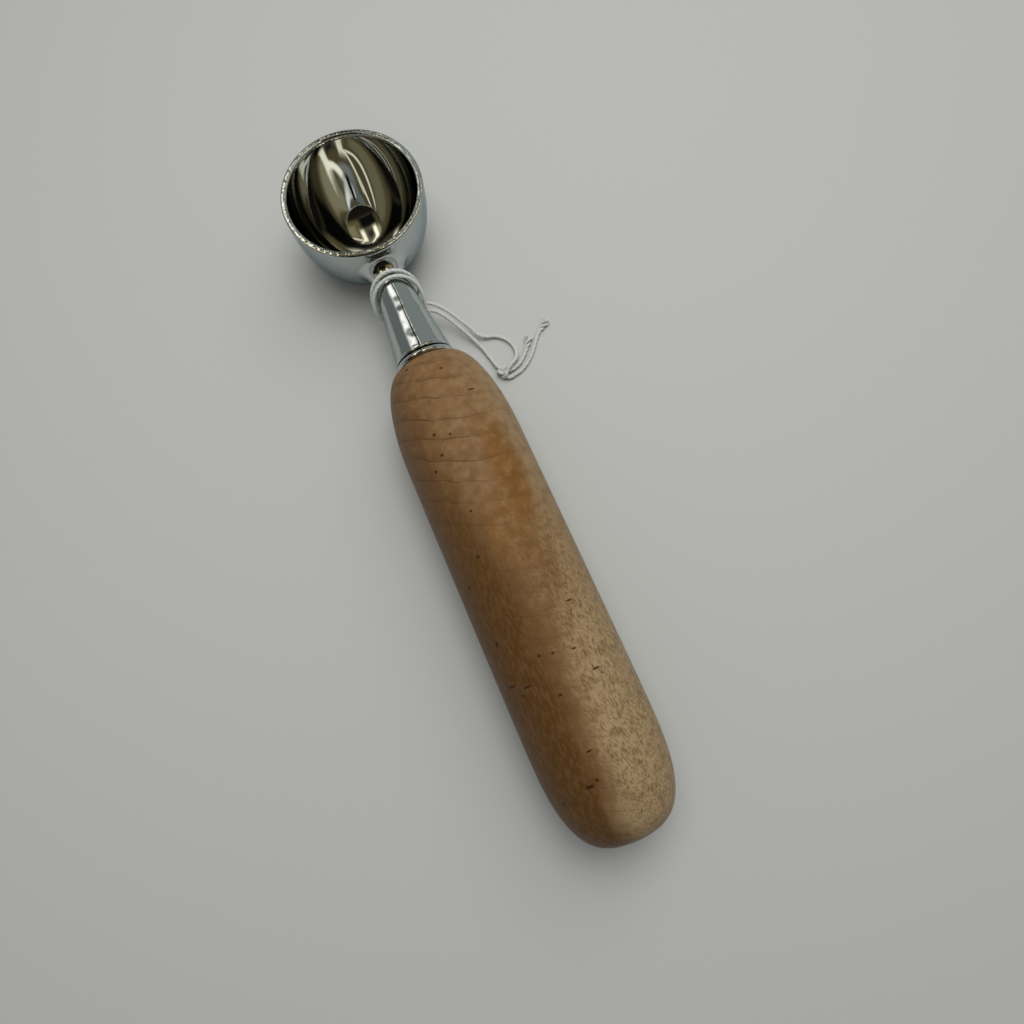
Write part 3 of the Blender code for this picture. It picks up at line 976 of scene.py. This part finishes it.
# The first border bounds the brown side with its painted shade, the second the pale side with its
# painted sheen.
# Where along the stick a border starts and stops moving, and its places across it there
BROWN_AND_SHADE_BORDER = (0.0, -40.0, -3.0, 3.5)
PALE_AND_SHEEN_BORDER = (-25.0, -80.0, 13.0, 4.0)
BROWN_AND_SHADE_SOFTNESS = 5.0
PALE_AND_SHEEN_SOFTNESS = 4.5
BORDER_WANDER = 9.0
DARK_BLOTCHES = 0.30
LIGHT_BLOTCHES = 0.20
STREAKS = 0.34


def wood_borders(tree, place, across, along_y):
    """Shares of darker wood with painted shade and of paler wood with painted sheen."""
    cloud = noise_node(tree, scaled(tree, place, (1.0, 0.45, 1.0)), 0.16, 4.0)
    shaken = math_node(tree, "ADD", across, times(tree, cloud, BORDER_WANDER))
    # Partly painted shade: darker on the side away from the lamp, more so towards the butt.
    past_border = math_node(tree, "SUBTRACT", shaken, range_node(tree, along_y, *BROWN_AND_SHADE_BORDER))
    brown_and_shade = range_node(tree, past_border, BROWN_AND_SHADE_SOFTNESS, -BROWN_AND_SHADE_SOFTNESS)
    brown_and_shade = times(tree, brown_and_shade, range_node(tree, along_y, 30.0, -45.0, 0.45, 1.0))
    # Partly painted sheen: paler on the side towards the lamp, more so towards the butt.
    past_border = math_node(tree, "SUBTRACT", shaken, range_node(tree, along_y, *PALE_AND_SHEEN_BORDER))
    pale = range_node(tree, past_border, -PALE_AND_SHEEN_SOFTNESS, PALE_AND_SHEEN_SOFTNESS)
    pale = times(tree, pale, range_node(tree, along_y, -15.0, -60.0, 0.5, 1.0))
    return brown_and_shade, pale


def plain_wood(tree, place, brown_and_shade, pale):
    """Tan wood, darker with painted shade and paler with painted sheen, and its orange patches."""
    colour = mix_colours(tree, brown_and_shade, TAN, BROWN_AND_SHADE)
    colour = mix_colours(tree, pale, colour, PALE_AND_SHEEN)
    for centre, half_size, strength in ORANGE_PATCHES:
        patch = ellipsoid_mask(tree, place, centre, half_size)
        colour = mix_colours(tree, times(tree, patch, strength), colour, ORANGE)
    return colour


def blotched(tree, place, colour, brown_and_shade):
    """Adds dark blotches all over, light ones outside the darker, shaded side and streaks within
    it.
    """
    blotches = noise_node(tree, place, 0.42, 4.0)
    dark = range_node(tree, blotches, 0.52, 0.36, 0.0, DARK_BLOTCHES)
    colour = mix_colours(tree, dark, colour, BROWN_AND_SHADE)
    light = times(tree, math_node(tree, "SUBTRACT", 1.0, brown_and_shade), LIGHT_BLOTCHES)
    light = times(tree, range_node(tree, blotches, 0.52, 0.68), light)
    colour = mix_colours(tree, light, colour, PALE_AND_SHEEN)
    streaks = noise_node(tree, scaled(tree, place, (1.0, 0.30, 1.0)), 1.5, 4.0)
    streaks = times(tree, range_node(tree, streaks, 0.42, 0.66, 0.0, STREAKS), brown_and_shade)
    return mix_colours(tree, streaks, colour, TAN)


# %% [markdown]
# Growth lines, flecks and marks are laid over the plain wood one after the other. The marks
# are the darkest and come last. Fine pores along the stick give a very low bump.

# %% Maple
LINE_BROWN = (0.070, 0.026, 0.008, 1)
FLECK_BROWN = (0.100, 0.050, 0.014, 1)
MARK_BROWN = (0.030, 0.011, 0.003, 1)
WOOD_ROUGHNESS = 0.45
WOOD_SHINE = 0.22
PORE_STRENGTH = 0.25
PORE_DEPTH = 0.00005


def maple_colour(tree, place):
    parts = add_node(tree, "ShaderNodeSeparateXYZ")
    tree.links.new(place, parts.inputs["Vector"])
    across, along_y, up = (parts.outputs[name] for name in "XYZ")
    brown_and_shade, pale = wood_borders(tree, place, across, along_y)
    colour = plain_wood(tree, place, brown_and_shade, pale)
    colour = blotched(tree, place, colour, brown_and_shade)
    colour = mix_colours(tree, growth_lines(tree, place, across, along_y), colour, LINE_BROWN)
    strokes = flecks(tree, place, across, along_y, up)
    colour = mix_colours(tree, strokes, colour, FLECK_BROWN)
    return mix_colours(tree, all_marks(tree, place), colour, MARK_BROWN)


def make_maple():
    material, shader = new_material("oiled_maple", 0.0, WOOD_ROUGHNESS)
    shader.inputs["Specular IOR Level"].default_value = WOOD_SHINE
    tree = material.node_tree
    where = add_node(tree, "ShaderNodeTexCoord")
    place = scaled(tree, where.outputs["Object"], (1000, 1000, 1000))
    tree.links.new(maple_colour(tree, place), shader.inputs["Base Color"])
    pores = noise_node(tree, scaled(tree, place, (1.0, 0.2, 1.0)), 3.0, 3.0)
    bump = add_node(tree, "ShaderNodeBump", Strength=PORE_STRENGTH, Distance=PORE_DEPTH)
    tree.links.new(pores, bump.inputs["Height"])
    tree.links.new(bump.outputs["Normal"], shader.inputs["Normal"])
    return material


give(handle, make_maple())
print("nodes in the wood:", len(handle.active_material.node_tree.nodes))

# %% [markdown]
# ### Cotton
# Undyed cotton is a dull off-white without any shine. Real hairs could stand out from it, but
# on a string this thin a fine uneven bump is enough to break up its shading.

# %% Cotton
COTTON_COLOUR = (0.51, 0.52, 0.485, 1)
COTTON_ROUGHNESS = 0.95
FUZZ_SCALE = 5000.0
FUZZ_STRENGTH = 0.6
FUZZ_DEPTH = 0.0001


def make_cotton():
    material, shader = new_material("white_cotton", 0.0, COTTON_ROUGHNESS)
    shader.inputs["Base Color"].default_value = COTTON_COLOUR
    tree = material.node_tree
    where = add_node(tree, "ShaderNodeTexCoord")
    fuzz = noise_node(tree, where.outputs["Object"], FUZZ_SCALE, 4.0)
    bump = add_node(tree, "ShaderNodeBump", Strength=FUZZ_STRENGTH, Distance=FUZZ_DEPTH)
    tree.links.new(fuzz, bump.inputs["Height"])
    tree.links.new(bump.outputs["Normal"], shader.inputs["Normal"])
    return material


cotton = make_cotton()
for piece in (long_string, short_string, knot):
    give(piece, cotton)
print("pieces in", cotton.name, cotton.users)

# %% [markdown]
# ## The table and the light
# The scoop lies on a pale matt table. Far away from it, where the lamps don't reach, the camera
# sees the table fade into the backdrop. The metal sees the table as it is.

# %% Table
TABLE_SIZE = 4.0
TABLE_COLOUR = (0.435, 0.440, 0.415, 1)
TABLE_ROUGHNESS = 0.6
BACKDROP = (0.47, 0.475, 0.455, 1)
FADE_START = 0.25
FADE_END = 0.60


def fade_table(material, shader):
    """Lets camera rays see the backdrop's colour in place of the far table."""
    tree = material.node_tree
    where = add_node(tree, "ShaderNodeTexCoord")
    away = add_node(tree, "ShaderNodeVectorMath", operation="LENGTH")
    seen = add_node(tree, "ShaderNodeLightPath")
    glow = add_node(tree, "ShaderNodeEmission", Color=BACKDROP)
    tree.links.new(where.outputs["Object"], away.inputs[0])
    far = range_node(tree, away.outputs["Value"], FADE_START, FADE_END)
    share = times(tree, far, seen.outputs["Is Camera Ray"])
    faded = choose_shader(tree, share, shader.outputs["BSDF"], glow.outputs["Emission"])
    tree.links.new(faded, tree.nodes["Material Output"].inputs["Surface"])


def make_table():
    deselect_all()
    bpy.ops.mesh.primitive_plane_add(size=TABLE_SIZE, location=(0, 0, 0))
    table = bpy.context.object
    table.name = "table"
    material, shader = new_material("table", 0.0, TABLE_ROUGHNESS)
    shader.inputs["Base Color"].default_value = TABLE_COLOUR
    fade_table(material, shader)
    give(table, material)
    return table


table = make_table()
print("table", TABLE_SIZE, "m wide, fades from", FADE_START, "to", FADE_END)

# %% [markdown]
# One large soft lamp stands at the upper right, a small one hangs over the cup, and an even
# pale sky fills the shadows. Together they light the scoop at a plain level, at which a
# colour looks about as it is set.

# %% Lamp
LAMP_PLACE = Vector((0.42, 0.36, 0.80))
LAMP_SIZE = 0.9
LAMP_POWER = 3.8
TOP_LAMP_PLACE = Vector((0.03, 0.09, 0.50))
TOP_LAMP_SIZE = 0.35
TOP_LAMP_POWER = 1.35


def add_lamp(name, place, size, power):
    lamp = bpy.data.lights.new(name, "AREA")
    lamp.shape = "DISK"
    lamp.size = size
    lamp.energy = power
    holder = bpy.data.objects.new(name, lamp)
    bpy.context.scene.collection.objects.link(holder)
    holder.location = place
    holder.rotation_euler = (-place).to_track_quat("-Z", "Y").to_euler()
    holder.visible_glossy = False
    return holder


lamp = add_lamp("soft_lamp", LAMP_PLACE, LAMP_SIZE, LAMP_POWER)
top_lamp = add_lamp("top_lamp", TOP_LAMP_PLACE, TOP_LAMP_SIZE, TOP_LAMP_POWER)
print("lamps", [tuple(round(x, 2) for x in each.location) for each in (lamp, top_lamp)])

# %% [markdown]
# ## The room in the metal
# Polished metal has no look of its own: it shows the room. The real one has a warm dim
# ceiling, long lamps, pale walls and, above the scoop, the dark camera. Each part is a panel
# with soft edges, laid over the ones before it. Planes hung about the scene would do the same,
# but they would also light the table and stand in the way of other views. Only glossy rays see
# these panels, which give the metal its reflections and the wood its faint sheen.

# %% Room panels
WARM_LAMP = (1.75, 1.65, 1.30)
BLACK = (0.004, 0.004, 0.003)

# Name, place, turn in degrees, half sizes, softness and colour. Overhead, a place is how far
# across and along a direction leads for each unit of height.
OVERHEAD = (
    ("window far to the right", (2.8, -0.40), 0, (1.2, 1.1), 0.3, (0.40, 0.41, 0.38)),
    ("dark room behind the camera", (-0.60, -2.44), 0, (1.45, 1.80), 0.1, (0.012, 0.010, 0.008)),
    ("dark wall on the left", (-2.50, -0.50), 0, (1.65, 0.60), 0.2, (0.012, 0.010, 0.008)),
    ("pale panel on the left", (-0.60, 0.45), 0, (0.20, 0.42), 0.35, (0.50, 0.44, 0.27)),
    ("pale panel on the right", (0.72, -0.15), 0, (0.22, 0.25), 0.4, (0.32, 0.28, 0.16)),
    ("grey strip", (0.05, 0.72), 0, (0.30, 0.11), 0.4, (0.40, 0.42, 0.38)),
    ("camera", (-0.27, -0.44), 0, (0.46, 0.24), 0.3, BLACK),
    ("dark gap overhead", (-0.20, 0.10), 0, (0.16, 0.16), 0.8, (0.020, 0.022, 0.020)),
    ("lamp overhead", (0.20, 0.15), 0, (0.09, 0.30), 0.4, WARM_LAMP),
    ("first long lamp, near end", (0.40, 0.47), 40, (0.22, 0.035), 0.5, WARM_LAMP),
    ("first long lamp, far end", (0.78, 0.57), 0, (0.24, 0.045), 0.5, WARM_LAMP),
    ("second long lamp", (0.64, 0.26), -15, (0.36, 0.035), 0.5, WARM_LAMP),
    ("left lamp, end", (-0.48, 0.20), 90, (0.30, 0.09), 0.4, (2.0, 1.9, 1.5)),
    ("left lamp", (-0.25, 0.58), 40, (0.32, 0.05), 0.5, (2.2, 2.1, 1.7)),
)
# Ahead, over the cup, a place is the quarter turns to the side and the share that leads along.
AHEAD = (
    ("right wall", (0.55, 0.66), 0, (0.60, 0.075), 0.2, (0.27, 0.31, 0.29)),
    ("left wall", (-0.58, 0.66), 0, (0.45, 0.075), 0.2, (0.17, 0.19, 0.18)),
    ("window", (-0.19, 0.650), 0, (0.16, 0.036), 0.75, (1.7, 1.7, 1.6)),
    ("window frame", (0.045, 0.66), 0, (0.038, 0.075), 0.2, (0.01, 0.01, 0.01)),
    ("gap beside the frame", (0.11, 0.655), 0, (0.02, 0.035), 0.6, (1.2, 1.2, 1.1)),
)

# %% [markdown]
# A Mapping node moves, turns and scales the view until the panel fills the square from -1 to
# 1. Inside that square the larger of the two distances is below 1, which makes the mask. The
# panels lie over a plain ceiling and plain walls.

# %% Room
CEILING = (0.17, 0.14, 0.065, 1)
WALLS = (0.28, 0.31, 0.30, 1)
CEILING_EDGE = (0.35, 0.62)
# Directions lower than this are taken to be this high
LOWEST = 0.05


def lay_panel(tree, view, below, panel):
    """Lays one panel over the colour below it and returns the new colour."""
    name, place, turn, half, softness, colour = panel
    fit = add_node(tree, "ShaderNodeMapping", vector_type="TEXTURE", label=name)
    fit.inputs["Location"].default_value = (*place, 0)
    fit.inputs["Rotation"].default_value = (0, 0, math.radians(turn))
    fit.inputs["Scale"].default_value = (*half, 1)
    size = add_node(tree, "ShaderNodeVectorMath", operation="ABSOLUTE")
    parts = add_node(tree, "ShaderNodeSeparateXYZ")
    far = add_node(tree, "ShaderNodeMath", operation="MAXIMUM")
    tree.links.new(view, fit.inputs["Vector"])
    tree.links.new(fit.outputs["Vector"], size.inputs[0])
    tree.links.new(size.outputs["Vector"], parts.inputs["Vector"])
    tree.links.new(parts.outputs["X"], far.inputs[0])
    tree.links.new(parts.outputs["Y"], far.inputs[1])
    mask = range_node(tree, far.outputs["Value"], 1 + softness, 1 - softness)
    return mix_colours(tree, mask, below, (*colour, 1))


def room_colour(tree):
    """The colour of the room in a direction."""
    way = add_node(tree, "ShaderNodeTexCoord")
    parts = add_node(tree, "ShaderNodeSeparateXYZ")
    tree.links.new(way.outputs["Generated"], parts.inputs["Vector"])
    across, along_y, up = (parts.outputs[name] for name in "XYZ")
    height = math_node(tree, "MAXIMUM", up, LOWEST)
    overhead = join_values(
        tree, math_node(tree, "DIVIDE", across, height), math_node(tree, "DIVIDE", along_y, height)
    )
    turned_by = math_node(tree, "ARCTAN2", across, up)
    ahead = join_values(tree, math_node(tree, "DIVIDE", turned_by, math.pi / 2), along_y)
    colour = mix_colours(tree, range_node(tree, up, *CEILING_EDGE), WALLS, CEILING)
    for panel in OVERHEAD:
        colour = lay_panel(tree, overhead, colour, panel)
    for panel in AHEAD:
        colour = lay_panel(tree, ahead, colour, panel)
    return colour


# %% [markdown]
# The world joins three looks: the sky that lights everything, the room for glossy rays, and a
# pale backdrop for the camera. The Standard view shows each colour as it is.

# %% World
SKY = (0.80, 0.82, 0.84, 1)
SKY_STRENGTH = 0.36


def make_world():
    world = bpy.data.worlds.new("room")
    world.use_nodes = True
    tree = world.node_tree
    sky = tree.nodes["Background"]
    sky.inputs["Color"].default_value = SKY
    sky.inputs["Strength"].default_value = SKY_STRENGTH
    room = add_node(tree, "ShaderNodeBackground")
    tree.links.new(room_colour(tree), room.inputs["Color"])
    backdrop = add_node(tree, "ShaderNodeBackground", Color=BACKDROP)
    seen = add_node(tree, "ShaderNodeLightPath")
    seen_glossy, seen_straight = seen.outputs["Is Glossy Ray"], seen.outputs["Is Camera Ray"]
    shader = choose_shader(tree, seen_glossy, sky.outputs["Background"], room.outputs["Background"])
    shader = choose_shader(tree, seen_straight, shader, backdrop.outputs["Background"])
    tree.links.new(shader, tree.nodes["World Output"].inputs["Surface"])
    bpy.context.scene.world = world
    bpy.context.scene.view_settings.view_transform = "Standard"
    print("room panels:", len(OVERHEAD) + len(AHEAD))


make_world()
